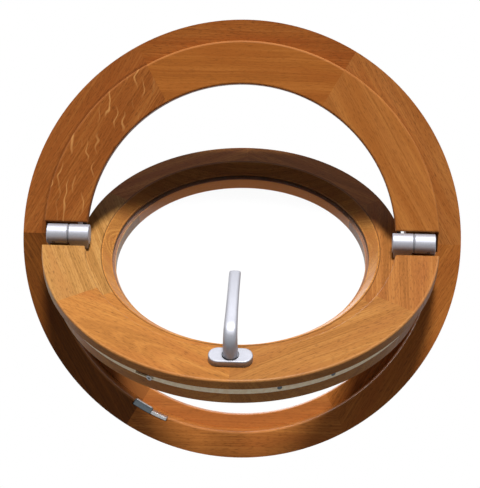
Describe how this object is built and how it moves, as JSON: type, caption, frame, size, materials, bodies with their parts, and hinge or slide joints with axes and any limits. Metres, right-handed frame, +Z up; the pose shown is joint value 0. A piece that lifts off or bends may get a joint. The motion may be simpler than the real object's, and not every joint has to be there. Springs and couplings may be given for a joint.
{
  "type": "round pivot window",
  "caption": "Round oak window with a centre-pivot sash tilted open, half cover rings, barrel hinges at mid height, a glass pane and a lever handle with an edge lock.",
  "frame": {"origin": "centre of the round frame, in the plane of its front face", "axes": "+Z up, -Y out of the window's front towards the room, +X to the right seen from the room"},
  "size_m": [0.7, 0.4827, 0.7],
  "materials": {
    "frame_oak": "stained oak, satin oil",
    "sash_oak": "stained oak, satin oil",
    "seal_rubber": "matt",
    "glass": "clear float glass",
    "satin_aluminium": "satin anodised",
    "steel": "zinc plated",
    "friction_plastic": "moulded",
    "zinc_plated_steel": "zinc plated, dull"
  },
  "bodies": {
    "frame": {"frame_right_upper": "frame_oak", "frame_top": "frame_oak", "frame_left_upper": "frame_oak", "frame_left_lower": "frame_oak", "frame_bottom": "frame_oak", "frame_right_lower": "frame_oak", "frame_seal": "seal_rubber", "hinge_frame_knuckle_left": "satin_aluminium", "hinge_frame_knuckle_right": "satin_aluminium", "hinge_pin_left": "steel", "hinge_pin_right": "steel", "hinge_washer_left": "friction_plastic", "hinge_washer_right": "friction_plastic", "hinge_studs_frame": "steel", "strike_plate": "zinc_plated_steel", "strike_screws": "steel"},
    "sash": {"sash_upper_right": "sash_oak", "sash_upper_left": "sash_oak", "sash_left": "sash_oak", "sash_lower_left": "sash_oak", "sash_lower_right": "sash_oak", "sash_right": "sash_oak", "glazing_bead": "sash_oak", "sash_seal": "seal_rubber", "glazing_seal": "seal_rubber", "setting_blocks": "seal_rubber", "glass_pane": "glass", "hinge_sash_knuckle_left": "satin_aluminium", "hinge_sash_knuckle_right": "satin_aluminium", "handle_rosette": "satin_aluminium", "hinge_studs_sash": "steel", "handle_screws": "steel", "faceplate_screws": "steel", "lock_case": "zinc_plated_steel", "lock_faceplate": "zinc_plated_steel"},
    "handle": {"handle_lever": "satin_aluminium", "handle_spindle": "steel"},
    "drive": {"lock_drive_bar": "zinc_plated_steel", "lock_roller": "steel"}
  },
  "joints": [
    {"name": "sash_pivot", "type": "hinge", "parent": "frame", "child": "sash", "pos_m": [0, -0.017, 0], "axis": [-1, 0, 0], "range_deg": [-49, 41]},
    {"name": "handle_turn", "type": "hinge", "parent": "sash", "child": "handle", "pos_m": [0, -0.22153, -0.17779], "axis": [0, -0.6561, 0.7547], "range_deg": [-90, 0]},
    {"name": "drive_slide", "type": "hinge", "parent": "sash", "child": "drive", "pos_m": [0, -0.00585, -0.01283], "axis": [0, -0.6561, 0.7547], "range_deg": [-4, 0]}
  ],
  "couplings": [
    {"joint": "drive_slide", "follows": "handle_turn", "ratio": 0.044444}
  ]
}
